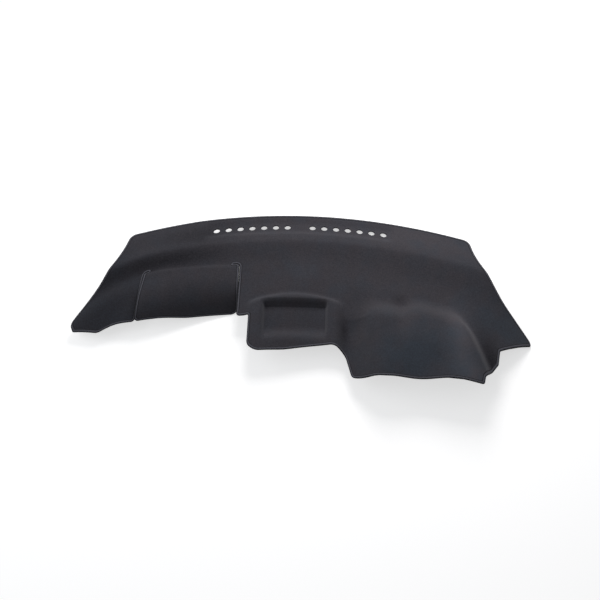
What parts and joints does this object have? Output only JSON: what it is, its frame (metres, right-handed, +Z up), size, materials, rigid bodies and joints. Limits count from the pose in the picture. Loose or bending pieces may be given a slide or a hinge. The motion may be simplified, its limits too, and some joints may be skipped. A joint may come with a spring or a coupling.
{
  "type": "dashboard cover mat",
  "caption": "Moulded felt mat that covers the top of a vehicle's dashboard, with vent holes, a tray, a free flap and a hood.",
  "frame": {"origin": "middle of the footprint, on the surface that the mat lies on", "axes": "+X across the mat towards the driver's side, +Y from the seats towards the windscreen edge, +Z up"},
  "size_m": [1.465, 0.6304, 0.1174],
  "materials": {
    "felt": "charcoal needled felt with a short velvety pile, matt, bound with overlocked thread of the same colour"
  },
  "bodies": {
    "root": {"mat_sheet": "felt"}
  },
  "joints": []
}
